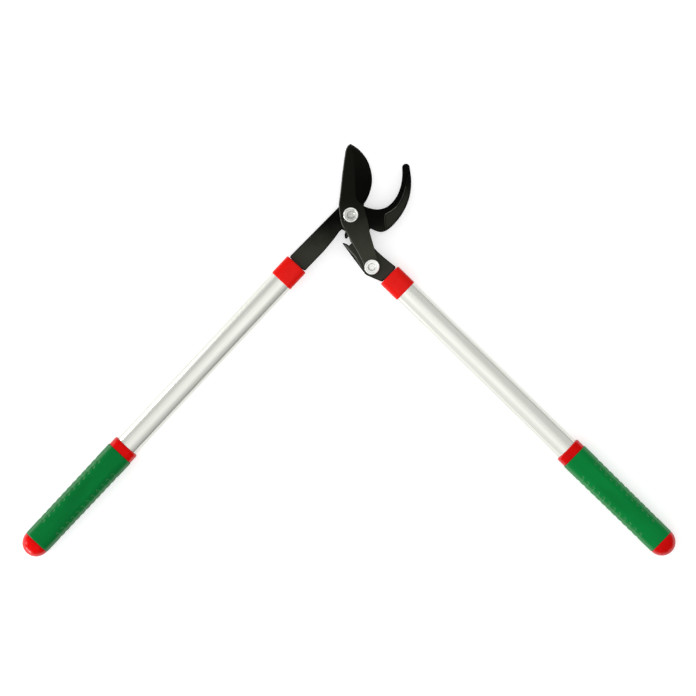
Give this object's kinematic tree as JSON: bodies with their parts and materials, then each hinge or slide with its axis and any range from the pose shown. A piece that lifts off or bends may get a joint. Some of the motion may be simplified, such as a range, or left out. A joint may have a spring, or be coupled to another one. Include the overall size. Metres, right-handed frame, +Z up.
{
  "type": "geared bypass lopper",
  "caption": "Long-handled bypass lopper: a curved blade passes a hooked counter-blade, driven by a geared double pivot between two tubular handles with soft grips.",
  "frame": {"origin": "main pivot axis at the plane the tool rests on, which is the flat end of the main pivot bolt", "axes": "+Z up out of the resting plane, along both pivots, towards the blade side; +Y from the main pivot along the open blade; +X towards the hook and the right handle"},
  "size_m": [0.8491, 0.5361, 0.028],
  "materials": {
    "black_steel": "satin black non-stick coating on forged steel",
    "bright_steel": "bright zinc plate",
    "aluminium": "satin anodised",
    "red_plastic": "glossy moulded",
    "green_rubber": "soft satin overmould",
    "grey_nylon": "plain moulded"
  },
  "bodies": {
    "hook_side": {"hook_plate": "black_steel", "main_pivot_bolt": "bright_steel", "main_pivot_washer": "bright_steel", "main_pivot_nut": "bright_steel", "main_pivot_nut_ring": "grey_nylon", "left_collar": "red_plastic", "left_tube": "aluminium", "left_tang_insert": "grey_nylon", "left_tang_pin_1": "bright_steel", "left_tang_pin_2": "bright_steel", "left_grip_core": "red_plastic", "left_grip_sleeve": "green_rubber"},
    "blade_side": {"blade": "black_steel", "link_pivot_bolt": "bright_steel", "link_pivot_washer": "bright_steel", "link_pivot_nut": "bright_steel", "link_pivot_nut_ring": "grey_nylon"},
    "lever_side": {"lever_plate": "black_steel", "right_collar": "red_plastic", "right_tube": "aluminium", "right_tang_insert": "grey_nylon", "right_tang_pin_1": "bright_steel", "right_tang_pin_2": "bright_steel", "right_grip_core": "red_plastic", "right_grip_sleeve": "green_rubber"}
  },
  "joints": [
    {"name": "blade_pivot", "type": "hinge", "parent": "hook_side", "child": "blade_side", "pos_m": [0, 0, 0], "axis": [0, 0, 1], "range_deg": [-49, 0]},
    {"name": "lever_pivot", "type": "hinge", "parent": "blade_side", "child": "lever_side", "pos_m": [0.02746, -0.06764, 0], "axis": [0, 0, 1], "range_deg": [-30.2, 0]}
  ],
  "couplings": [
    {"joint": "lever_pivot", "follows": "blade_pivot", "ratio": 0.61538}
  ]
}
